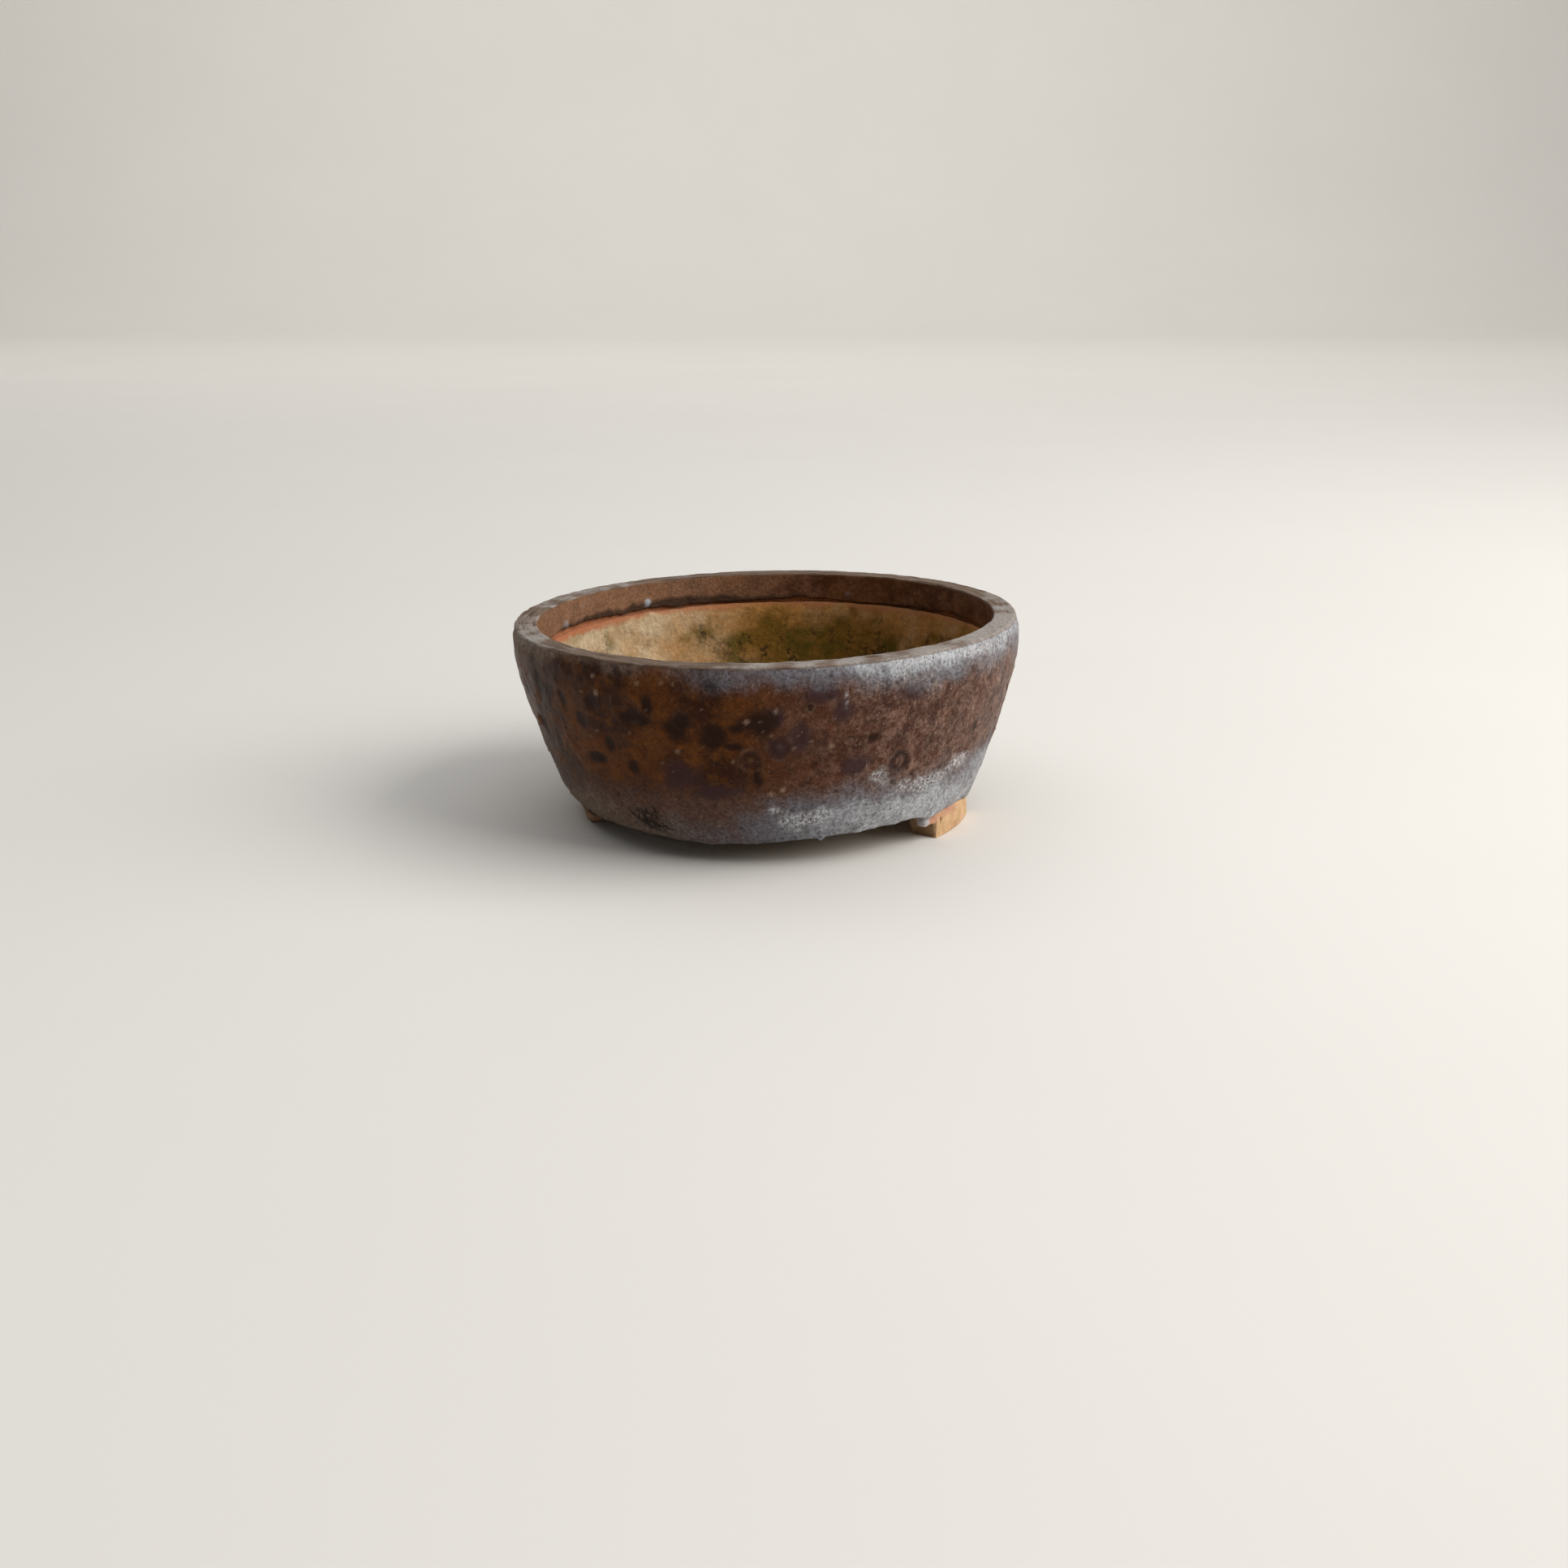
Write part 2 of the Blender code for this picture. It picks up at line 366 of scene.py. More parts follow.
def mesh_piece(name, points, faces):
    mesh = bpy.data.meshes.new(name)
    mesh.vertices.add(len(points))
    mesh.vertices.foreach_set("co", np.asarray(points, np.float32).ravel())
    sides = faces.shape[1]
    mesh.loops.add(faces.size)
    mesh.loops.foreach_set("vertex_index", faces.astype(np.int32).ravel())
    mesh.polygons.add(len(faces))
    mesh.polygons.foreach_set("loop_start", np.arange(0, faces.size, sides, dtype=np.int32))
    mesh.update(calc_edges=True)
    mesh.validate()
    mesh.shade_smooth()
    piece = bpy.data.objects.new(name, mesh)
    bpy.context.collection.objects.link(piece)
    return piece


def set_attribute(piece, name, values):
    layer = piece.data.attributes.new(name, "FLOAT", "POINT")
    layer.data.foreach_set("value", np.ascontiguousarray(values, np.float32).ravel())


def finish_piece(piece, material, slot, *nodes):
    """Gives a piece its material and puts it on the pot, in place of its CAD nodes."""
    piece.data.materials.append(material)
    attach(piece, "root")
    if nodes:
        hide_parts(*nodes)


# ---------------------------------------------------------------- glaze coat


def glaze_outline():
    """Rows of the skin: up the outside, over the lip, down the band, and back behind it all."""
    round_height = BODY_HEIGHT - LIP_ROUND
    lip_outer = arc((LIP_RADIUS - LIP_ROUND, round_height), LIP_ROUND, 20, 90)
    lip_inner = arc((INNER_RADIUS + LIP_ROUND, round_height), LIP_ROUND, 90, 180)
    path = np.vstack([smooth_path(OUTSIDE), lip_outer, lip_inner, [(INNER_RADIUS, BAND_END)]])
    front = resample(path, ROW_STEP)
    back = resample(front + GLAZE_THICKNESS * left_normals(front), BACK_ROW_STEP)[::-1]
    outside_rows = int(np.argmax(front[:, 1])) + 2
    return np.vstack([front, back]), len(front), outside_rows


def lump(reach):
    """Dome of height 1 inside reach 1."""
    return np.sqrt(np.clip(1 - reach**2, 0, 1))


def ring_wall(reach):
    """Raised rim at reach 1, with a hollow inside and a small knob in the middle."""
    return np.exp(-(((reach - 1) / 0.22) ** 2)) - 0.5 * smoothstep(1, 0.5, reach) + 0.8 * lump(reach / 0.3)


def scatter(rng, count, radii):
    """Marks all round the outside: azimuth, height and radius."""
    azimuths = rng.uniform(-180, 180, count)
    heights = rng.uniform(1.5, 26, count)
    return list(zip(azimuths, heights, rng.uniform(*radii, count)))


def behind(marks):
    """The scattered marks that fall outside the front, whose own marks are listed above."""
    return [mark for mark in marks if abs(mark[0] - 90) < BACK_SPREAD]


def patch_mask(skin, patches, edge, core, ragged):
    """1 in the middle of each patch, fading to 0 past its ragged edge."""
    mask = np.zeros(skin.radius.shape)
    for azimuth, height, wide, tall in patches:
        reach = skin.reach(azimuth, height, wide, tall) + ragged
        mask = np.maximum(mask, smoothstep(edge, core, reach))
    return mask


def ring_marks(skin, rings, ragged):
    """Burst blisters: their relief, their dark trough, and their pale rim and knob."""
    relief, trough, rim = np.zeros((3, *skin.radius.shape))
    for azimuth, height, radius, strength in rings:
        reach = skin.reach(azimuth, height, radius, radius) + 0.35 * ragged
        relief += 0.26 * strength * ring_wall(reach)
        trough = np.maximum(trough, strength * np.exp(-(((reach - 0.64) / 0.26) ** 2)))
        rim = np.maximum(rim, strength * np.exp(-(((reach - 1.08) / 0.14) ** 2)))
        rim = np.maximum(rim, strength * smoothstep(0.34, 0.1, reach))
    return relief, trough, rim


def bead_marks(skin, beads):
    """Standing beads: their relief, and their pale tops, paler the larger the bead."""
    relief, tops = np.zeros((2, *skin.radius.shape))
    for azimuth, height, radius in beads:
        dome = lump(skin.reach(azimuth, height, radius * 1.2, radius * 1.2))
        relief += 0.6 * radius * dome
        tops = np.maximum(tops, smoothstep(0.35, 0.9, dome) * min(1, radius / 0.42))
    return relief, tops


def pit_marks(skin, pits):
    """Pinholes: their relief and their dark hollows."""
    relief, hollows = np.zeros((2, *skin.radius.shape))
    for azimuth, height, radius in pits:
        hole = lump(skin.reach(azimuth, height, radius * 1.2, radius))
        relief -= 0.3 * radius * hole
        hollows = np.maximum(hollows, hole)
    return relief, hollows


def bloom_mask(skin, places):
    """How much pale bloom lies under the lip and above the base."""
    azimuths, depths, heights, strengths = np.array(BLOOM, float).T
    turn = np.degrees(skin.azimuth)
    depth = np.interp(turn, azimuths, depths)
    low = np.interp(turn, azimuths, heights)
    strength = np.interp(turn, azimuths, strengths)
    drift = 1.5 * fractal(places, 7.0, 40) + 0.6 * fractal(places * (1, 1, 0.5), 1.8, 45)
    below_lip = smoothstep(depth * 1.25, depth * 0.1, BODY_HEIGHT - skin.height + drift)
    above_base = smoothstep(low * 1.3, low * 0.3, skin.height + 1.3 * drift)
    return strength * np.maximum(below_lip, above_base)


def shape_lower_edge(skin, turn, places):
    """The edge hangs and thickens by the drop listed for each azimuth."""
    drop = np.interp(turn, *np.array(LOWER_EDGE, float).T) + 0.06 * fractal(places, 1.8, 70)
    skin.radius += 0.2 * np.clip(drop, 0, 0.8) * smoothstep(2.5, 0, skin.height)
    skin.radius = np.minimum(skin.radius, BELLY_LIMIT)
    skin.height -= drop * smoothstep(3, 0, skin.height)


def shape_band_end(skin, turn, places):
    """Makes the band's end ragged, and returns how much soot lies along it."""
    level = places * (1, 1, 0)
    ragged = 0.35 * fractal(level, 5.0, 90) + 0.12 * fractal(level, 1.2, 95)
    on_band = (skin.radius < LIP_RADIUS - 2) * (skin.height > BAND_END - 1)
    skin.height += ragged * on_band * smoothstep(3.0, 0, skin.height - BAND_END)
    width = 0.25 + 1.2 * np.exp(-(((turn - 115) / 24) ** 2))
    width = width + 0.6 * fractal(places * (1, 1, 0.3), 3.0, 98)
    return smoothstep(width + 0.5, width - 0.4, skin.height - BAND_END - ragged)


def make_glaze():
    """The glaze coat, shaped and marked, in front of the clay that it covers."""
    outline, front_rows, outside_rows = glaze_outline()
    skin = Skin(outline, GLAZE_COLUMNS)
    row = np.arange(len(outline))[:, None]
    outer_face = (row < front_rows) * 1.0
    on_outside = row < outside_rows
    outside = on_outside * smoothstep(BODY_HEIGHT - 0.1, BODY_HEIGHT - 0.5, skin.height)
    on_lip = outer_face * smoothstep(BODY_HEIGHT - 0.5, BODY_HEIGHT - 0.15, skin.height)
    inside = outer_face * (1 - on_outside) * (1 - on_lip)
    places = skin.places()
    turn = np.degrees(skin.azimuth)
    ragged = 0.28 * fractal(places, 1.8, 60)

    rng = np.random.default_rng(7)
    more_spots = [(a, h, r, r * 1.1) for a, h, r in behind(scatter(rng, 26, (0.9, 2.2)))]
    more_rings = [(a, h, r, 0.6) for a, h, r in behind(scatter(rng, 14, (0.6, 1.6)))]
    dark = patch_mask(skin, DARK_SPOTS + more_spots, 1.3, 0.55, ragged)
    plum = patch_mask(skin, PLUM_PATCHES, 1.4, 0.5, ragged)
    crackle = patch_mask(skin, CRACKLE, 1.4, 0.3, 1.6 * ragged)
    ring_relief, ring_trough, ring_rim = ring_marks(skin, RINGS + more_rings, ragged)
    bead_relief, bead_tops = bead_marks(skin, BEADS + scatter(rng, 170, (0.14, 0.30)))
    pit_relief, pit_hollows = pit_marks(skin, scatter(rng, 260, (0.2, 0.4)))
    worn_rim = 0.42 * ring_rim * smoothstep(-0.6, 0.8, fractal(places, 1.2, 65, 2))
    bloom = bloom_mask(skin, places)

    relief = 0.13 * fractal(places, 3.2, 10) + 0.07 * fractal(places, 1.1, 20, 2)
    relief += 0.015 * fractal(places * (1, 1, 0.3), 0.9, 30, 2)
    relief -= 0.08 * dark
    relief -= 0.07 * crackle * np.abs(fractal(places, 0.7, 35, 2))
    relief += ring_relief + bead_relief + pit_relief
    lip_wear = 0.06 * fractal(places, 1.6, 26, 2) + 0.05 * fractal(places, 5.0, 27, 2)
    lip_wear = lip_wear + sum(0.5 * r * lump(skin.reach(a, h, r, r)) for a, h, r, _ in BAND_BEADS)
    frosted = sum(pale * lump(skin.reach(a, h, 1.3 * r, 1.3 * r)) for a, h, r, pale in BAND_BEADS)
    relief = relief * outside + (1 - outside) * outer_face * lip_wear
    wobble = 0.22 * fractal(places * (1, 1, 0.5), 24.0, 80, 2) * smoothstep(0, 8, skin.height)
    skin.push(outer_face * np.clip(relief - 0.1, -0.3, 0.35))
    skin.radius += wobble
    shape_lower_edge(skin, turn, places)
    soot = shape_band_end(skin, turn, places)

    side = np.cos(skin.azimuth - math.radians(DUST_AND_SHEEN_SIDE))
    rim_ash = 0.20 + 0.36 * np.abs(side) + 0.14 * side + 0.35 * fractal(places, 3.0, 99)
    rim_ash = rim_ash - 0.45 * np.exp(-(((turn - 80) / 50) ** 2))
    piece = skin.piece("pot_glaze")
    for name, values in {
        "dark": dark,
        "plum": plum,
        "bloom": bloom * outside,
        "crackle": crackle * outside,
        "frosted": frosted * inside,
        "ring": ring_trough,
        "bead": np.maximum(worn_rim, bead_tops),
        "pit": pit_hollows,
        "lip": on_lip,
        "rim_ash": rim_ash,
        "radius_mm": skin.radius,
        "band": inside,
        "soot": soot * inside,
        "height_mm": skin.height,
        "right": 0.5 + 0.5 * side,
    }.items():
        set_attribute(piece, name, np.broadcast_to(values, skin.radius.shape))
    finish_piece(piece, glaze_material(), "iron_glaze", "glaze_coat")


# ---------------------------------------------------------------- clay


def wall_outline():
    """Rows of the wall: up behind the glaze, down the bare inside to the joint, and the ring underneath."""
    hidden = GLAZE_THICKNESS + GAP + 0.3
    outside = smooth_path(OUTSIDE)
    outside = outside + hidden * left_normals(outside)
    outside[0, 1] = 0
    inner = INNER_RADIUS + GLAZE_THICKNESS + GAP
    middle = [(radius, height) for radius, height in OUTSIDE if FLOOR_THICKNESS < height < BAND_END]
    middle = [(radius - WALL_THICKNESS, height) for radius, height in reversed(middle)]
    corner = (FLOOR_JOINT_RADIUS + FLOOR_FILLET[0], FLOOR_THICKNESS + FLOOR_FILLET[1])
    bare = smooth_path([(inner, BAND_END - 1), *middle, corner])
    joint = [(FLOOR_JOINT_RADIUS, FLOOR_THICKNESS), (FLOOR_JOINT_RADIUS, 0.0)]
    top = [(LIP_RADIUS - 1.4, BODY_HEIGHT - 1.0), (inner + 0.2, BODY_HEIGHT - 1.0)]
    upper = resample(np.vstack([outside[:-1], top]), 2.0)
    lower = resample(np.vstack([upper[-1:], bare, joint]), 0.45)[1:]
    under = resample(np.array([joint[1], outside[0]]), 0.6)[1:-1]
    return np.vstack([upper, lower, under])


def make_wall():
    """The wall, with moss at the back, brown soil on the right and low down, and a flush under the glaze."""
    skin = Skin(wall_outline(), WALL_COLUMNS)
    places = skin.places()
    shown = (skin.radius < INNER_RADIUS + 0.7) * smoothstep(FLOOR_THICKNESS, 7, skin.height)
    skin.push(shown * (0.10 * fractal(places, 2.6, 110) + 0.06 * fractal(places * (1, 1, 3), 2.0, 115)))
    turn = np.degrees(skin.azimuth)
    from_right = np.abs(turn - 10)
    back = np.exp(-(((turn - 80) / 46) ** 2))
    low = smoothstep(BAND_END - 1.0, BODY_HEIGHT - 12, skin.height)
    moss = fractal(places, 6.0, 120) + 0.5 * fractal(places, 1.3, 125)
    brown = smoothstep(135, 80, from_right) + 0.3 * fractal(places, 4.0, 128)
    flash = 0.55 + 0.4 * smoothstep(50, 150, from_right)
    piece = skin.piece("pot_wall")
    set_attribute(piece, "moss", smoothstep(-0.5, 0.9, 0.8 * moss + 1.5 * back * low - 0.45))
    set_attribute(piece, "soil", np.maximum(smoothstep(12, 4.5, skin.height), brown))
    below_glaze = BAND_END - skin.height + 0.4 * fractal(places * (1, 1, 0), 4.0, 130)
    set_attribute(piece, "below_glaze", below_glaze)
    set_attribute(piece, "flash", np.broadcast_to(flash, skin.radius.shape))
    finish_piece(piece, inner_clay_material(), "body_clay", "wall")


def make_floor():
    """Floor slab with a rounded drain hole, a little uneven on top and below."""
    edge, round_centre = FLOOR_JOINT_RADIUS - GAP, DRAIN_RADIUS + DRAIN_ROUND
    top = resample(np.array([(edge, FLOOR_THICKNESS), (round_centre, FLOOR_THICKNESS)]), 0.5)
    upper_round = arc((round_centre, FLOOR_THICKNESS - DRAIN_ROUND), DRAIN_ROUND, 90, 180)[1:]
    lower_round = arc((round_centre, DRAIN_ROUND), DRAIN_ROUND, 180, 270)
    under = resample(np.array([(round_centre, 0.0), (edge, 0.0)]), 1.2)[1:]
    skin = Skin(np.vstack([top, upper_round, lower_round, under]), FLOOR_COLUMNS)
    places = skin.places()
    away = smoothstep(edge, edge - 1.5, skin.radius)
    skin.push(away * (0.14 * fractal(places, 3.4, 140) - 0.06))
    piece = skin.piece("pot_floor")
    set_attribute(piece, "moss", smoothstep(0.0, 0.9, fractal(places, 5.0, 150)))
    set_attribute(piece, "soil", 0.75 + 0.25 * fractal(places, 4.0, 155))
    set_attribute(piece, "below_glaze", np.full(skin.radius.shape, 15.0))
    set_attribute(piece, "flash", np.zeros(skin.radius.shape))
    finish_piece(piece, inner_clay_material(), "floor_clay", "base_slab")


def foot_top(x):
    """Height of the top of a foot, just under the leaning underside."""
    return STAND_HEIGHT + (x - AXIS_X) * math.tan(math.radians(LEAN)) - GAP


def swept_block(bm, first, last, steps, radii, bottom_share):
    """Curved block around the foot ring. radii: outer and inner at the top, then at the bottom."""
    top_outer, top_inner, bottom_outer, bottom_inner = radii
    corners = (
        (top_outer, 1.0),
        (bottom_outer, bottom_share),
        (bottom_inner, bottom_share),
        (top_inner, 1.0),
    )
    loops = []
    for azimuth in np.radians(np.linspace(first, last, steps + 1)):
        loop = []
        for radius, share in corners:
            x, y = AXIS_X + radius * math.cos(azimuth), radius * math.sin(azimuth)
            loop.append(bm.verts.new((x, y, share * foot_top(x))))
        loops.append(loop)
    for loop, following in zip(loops, loops[1:]):
        for i in range(4):
            j = (i + 1) % 4
            bm.faces.new((loop[i], following[i], following[j], loop[j]))
    bm.faces.new(loops[0])
    bm.faces.new(loops[-1])


def smoothed_mesh(bm, name):
    """The blocks of bm fused into one skin with softened edges."""
    shape = bpy.data.meshes.new(name + "_shape")
    bm.to_mesh(shape)
    bm.free()
    guide = bpy.data.objects.new(name + "_shape", shape)
    bpy.context.collection.objects.link(guide)
    remesh = guide.modifiers.new("remesh", "REMESH")
    remesh.mode = "VOXEL"
    remesh.voxel_size = VOXEL
    smooth = guide.modifiers.new("smooth", "SMOOTH")
    smooth.factor = 0.5
    smooth.iterations = SMOOTHINGS
    evaluated = guide.evaluated_get(bpy.context.evaluated_depsgraph_get())
    mesh = bpy.data.meshes.new_from_object(evaluated)
    mesh.name = name
    bpy.data.objects.remove(guide)
    bpy.data.meshes.remove(shape)
    return mesh


def read_vectors(mesh, name):
    """The mesh's points or normals, one to a row."""
    values = np.empty(len(mesh.vertices) * 3, np.float32)
    mesh.vertices.foreach_get(name, values)
    return values.reshape(-1, 3)


def crack_depth(points, azimuth, seed):
    """1 along the middle of the crack, which wanders and bends as it climbs."""
    crack_azimuth, crack_height, half_length = CRACK
    above = points[:, 2] - crack_height
    beside = (azimuth - crack_azimuth) * 0.54 - 0.3 * fractal(points, 1.2, seed + 7)
    beside += 0.25 * (above / half_length) ** 2
    return np.exp(-((beside / 0.1) ** 2)) * smoothstep(half_length, 0.3, np.abs(above))


def make_foot(node, material, seed):
    """Foot cut and pressed from a strip of clay, with a lobe that overhangs its heel."""
    heel, way, radii, darkening, bead = FEET[node]
    outer = radii[0]
    bm = bmesh.new()
    swept_block(bm, heel, heel + way * FOOT_SPAN, SWEEP_STEPS, radii, 0.0)
    lobe = (outer, outer - LOBE_WIDTH, outer - 0.1, outer - LOBE_WIDTH + 0.2)
    swept_block(bm, heel - way * LOBE_SPAN, heel + way * 1.5, LOBE_STEPS, lobe, 1 - LOBE_DEPTH)
    back, behind_face, below_top = BEAD_PLACE
    tip = math.radians(heel - way * (LOBE_SPAN - back))
    tip_x = AXIS_X + (outer - behind_face) * math.cos(tip)
    tip_place = np.array([tip_x, (outer - behind_face) * math.sin(tip), foot_top(tip_x) - below_top])
    if bead:
        made = bmesh.ops.create_icosphere(bm, subdivisions=3, radius=bead)
        bmesh.ops.translate(bm, verts=made["verts"], vec=tip_place)
    bmesh.ops.recalc_face_normals(bm, faces=bm.faces)
    mesh = smoothed_mesh(bm, node + "_clay")

    points, normals = read_vectors(mesh, "co").astype(float), read_vectors(mesh, "normal")
    height, top = points[:, 2], foot_top(points[:, 0])
    reach = np.hypot(points[:, 0] - AXIS_X, points[:, 1])
    azimuth = np.degrees(np.arctan2(points[:, 1], points[:, 0] - AXIS_X))
    along = way * (azimuth - heel + 180) % 360 - 180
    free = smoothstep(0.0, 0.35, height) * smoothstep(0.0, 0.5, top - height)
    wear = 0.20 * fractal(points, 2.6, seed) + 0.06 * fractal(points, 0.7, seed + 5)
    crack = crack_depth(points, azimuth, seed) * (reach > outer - 1) * (node == CRACKED_FOOT)
    points += normals * ((wear - 0.12 * crack) * free)[:, None]
    height = np.clip(points[:, 2], 0.0, None)
    points[:, 2] = height
    mesh.vertices.foreach_set("co", (points * MM).astype(np.float32).ravel())
    mesh.update()
    mesh.shade_smooth()
    piece = bpy.data.objects.new(mesh.name, mesh)
    bpy.context.collection.objects.link(piece)

    outward = smoothstep(outer - LOBE_WIDTH, outer - LOBE_WIDTH / 2, reach)
    flush = smoothstep(0.45, 1.0, height / top + 0.25 * fractal(points, 2.0, seed + 9))
    flush *= outward * smoothstep(14, 5, along) * (1 - 0.7 * darkening)
    # Painted shade: the end face under the lobe and the whole of a shaded foot are darkened in colour. The
    # crack's dark line joins them in one mask.
    shade_under_lobe = smoothstep(1.2, 0.2, along) * (reach < outer - 0.5) * (height < 0.6 * top)
    painted_shade = np.maximum(0.9 * darkening, 0.5 * shade_under_lobe)
    glazed = np.zeros(len(points))
    if bead:
        from_tip = np.linalg.norm(points - tip_place, axis=1) + 0.25 * fractal(points, 1.0, seed + 3)
        glazed = smoothstep(bead + 0.45, bead * 0.8, from_tip)
    set_attribute(piece, "flush", flush)
    set_attribute(piece, "darkening", np.maximum(painted_shade, crack))
    set_attribute(piece, "glazed", glazed)
    finish_piece(piece, material, "foot_clay", node)


# ---------------------------------------------------------------- dried roots


def tube(path, radii):
    """Rings of points around a path, ROOT_SIDES to a ring."""
    along = np.gradient(path, axis=0)
    along /= np.linalg.norm(along, axis=1, keepdims=True)
    side = np.cross(along, (0.3, 0.5, 0.81))
    side /= np.linalg.norm(side, axis=1, keepdims=True)
    other = np.cross(along, side)
    turns = np.linspace(0, 2 * math.pi, ROOT_SIDES, endpoint=False)
    spokes = [side * math.cos(t) + other * math.sin(t) for t in turns]
    return path[:, None] + radii[:, None, None] * np.stack(spokes, axis=1)


def root_path(rng, azimuth, height, heading, count, bend):
    """Wandering line over the outside, as points in millimetres."""
    line = []
    for _ in range(count):
        heading += rng.normal(0, bend)
        azimuth += ROOT_STEP * math.cos(heading) / ROOT_RADIUS
        height = np.clip(height + ROOT_STEP * math.sin(heading), 1.0, 6.5)
        stand_off = np.interp(height, *np.array(OUTSIDE).T[::-1]) + 0.02 + 0.14 * rng.random()
        line.append((stand_off, azimuth, height))
    return pot_points(*np.array(line).T)


def make_roots():
    """Dried root hairs stuck to the outside, low on the left, with two stiffer fibres."""
    rng = np.random.default_rng(11)
    paths = [(root_path(rng, math.radians(-119.5), 4.7, -0.82, 22, 0.04), 0.075)]
    paths += [(root_path(rng, math.radians(-125.5), 3.4, -0.7, 24, 0.12), 0.07)]
    for _ in range(40):
        azimuth = math.radians(np.clip(rng.normal(-120.5, 2.8), -126.5, -115.5))
        height = np.clip(rng.normal(3.0, 0.7), 1.6, 4.4)
        heading = rng.choice([-0.6, 2.5]) + rng.normal(0, 0.7)
        path = root_path(rng, azimuth, height, heading, rng.integers(7, 16), 0.3)
        paths.append((path, rng.uniform(0.05, 0.085)))
    points, faces, start = [], [], 0
    for path, radius in paths:
        count = len(path)
        radii = radius * np.sqrt(np.clip(np.linspace(2, 0.1, count), 0.05, 1))
        points.append(tube(path, radii).reshape(-1, 3) * MM)
        index = start + np.arange(count * ROOT_SIDES).reshape(count, ROOT_SIDES)
        following = np.roll(index, -1, axis=1)
        sides = np.stack([index[:-1], following[:-1], following[1:], index[1:]], axis=-1)
        faces.append(sides.reshape(-1, 4))
        faces += [cap[[[0, 1, 2, 3], [0, 3, 4, 5]]] for cap in (index[0][::-1], index[-1])]
        start += index.size
    piece = mesh_piece("dried_roots", np.vstack(points), np.vstack(faces))
    finish_piece(piece, root_material(), None)


# ---------------------------------------------------------------- materials


class Look:
    """A material with a Principled shader, and short calls that add its nodes."""

    def __init__(self, name):
        self.material = bpy.data.materials.new(name)
        self.material.use_nodes = True
        self.tree = self.material.node_tree
        self.shader = self.tree.nodes["Principled BSDF"]
        self.place = self.add("ShaderNodeTexCoord").outputs["Object"]

    def add(self, kind, inputs=None, **settings):
        node = self.tree.nodes.new(kind)
        for name, value in settings.items():
            setattr(node, name, value)
        for name, value in (inputs or {}).items():
            self.connect(value, node.inputs[name])
        return node

    def connect(self, value, socket):
        if isinstance(value, bpy.types.NodeSocket):
            self.tree.links.new(value, socket)
        elif isinstance(value, tuple) and len(value) == 3 and socket.type == "RGBA":
            socket.default_value = (*value, 1.0)
        else:
            socket.default_value = value

    def mark(self, name):
        """A value stored at the mesh's vertices."""
        return self.add("ShaderNodeAttribute", attribute_name=name).outputs["Fac"]

    def noise(self, cell, detail=3.0, roughness=0.6, stretch=None):
        """Noise from 0 to 1 with features about one cell across."""
        place = self.place
        if stretch:
            place = self.add("ShaderNodeMapping", {"Vector": place, "Scale": stretch}).outputs["Vector"]
        settings = {"Vector": place, "Scale": 0.5 / (cell * MM), "Detail": detail, "Roughness": roughness}
        return self.add("ShaderNodeTexNoise", settings).outputs["Fac"]

    def between(self, value, low, high):
        """Smooth step from 0 at low to 1 at high."""
        inputs = {"Value": value, "From Min": low, "From Max": high}
        return self.add("ShaderNodeMapRange", inputs, interpolation_type="SMOOTHSTEP").outputs["Result"]

    def math(self, operation, first, second):
        node = self.add("ShaderNodeMath", operation=operation)
        self.connect(first, node.inputs[0])
        self.connect(second, node.inputs[1])
        return node.outputs["Value"]

    def dots(self, cell, size, share):
        """Round dots, one to a cell at most: size as part of a cell, share as the part of cells used."""
        settings = {"Vector": self.place, "Scale": 1 / (cell * MM)}
        cells = self.add("ShaderNodeTexVoronoi", settings, feature="F1")
        chance = self.add("ShaderNodeSeparateColor", {"Color": cells.outputs["Color"]}).outputs["Red"]
        dot = self.between(cells.outputs["Distance"], size, size * 0.4)
        return self.times(dot, self.between(chance, 1 - share, 1.01 - share))

    def scaled(self, colour, factor):
        node = self.add("ShaderNodeVectorMath", operation="SCALE")
        self.connect(colour, node.inputs[0])
        self.connect(factor, node.inputs["Scale"])
        return node.outputs["Vector"]

    def times(self, first, second):
        return self.math("MULTIPLY", first, second)

    def plus(self, first, second):
        return self.math("ADD", first, second)

    def mix(self, share, first, second):
        node = self.add("ShaderNodeMix", data_type="RGBA")
        self.connect(share, node.inputs["Factor"])
        self.connect(first, node.inputs[6])
        self.connect(second, node.inputs[7])
        return node.outputs[2]

    def mix_value(self, share, first, second):
        node = self.add("ShaderNodeMix", data_type="FLOAT")
        for value, place in ((share, 0), (first, 2), (second, 3)):
            self.connect(value, node.inputs[place])
        return node.outputs[0]

    def bump(self, height, distance, strength=1.0):
        inputs = {"Height": height, "Distance": distance * MM, "Strength": strength}
        self.connect(self.add("ShaderNodeBump", inputs).outputs["Normal"], self.shader.inputs["Normal"])


class GlazeLook(Look):
    """The glaze's look, with the marks and noises that its colours share."""

    def __init__(self):
        super().__init__("iron_glaze")
        self.right, self.bloom = self.mark("right"), self.mark("bloom")
        self.broad = self.noise(6.0, 3, 0.55)
        self.mottle = self.noise(1.4, 5, 0.65)
        self.fine = self.noise(0.26, 4, 0.8)
        self.veil = self.noise(1.7, 5, 0.75)
        self.grain = self.between(self.fine, 0.32, 0.68)
        # Pale specks, painted as glints of light on small beads. They also raise the bump.
        self.specks = self.dots(0.75, 0.17, 0.30)
        height = self.plus(self.mark("height_mm"), self.times(self.mottle, 6.0))
        self.low = self.between(height, 14.0, 8.0)


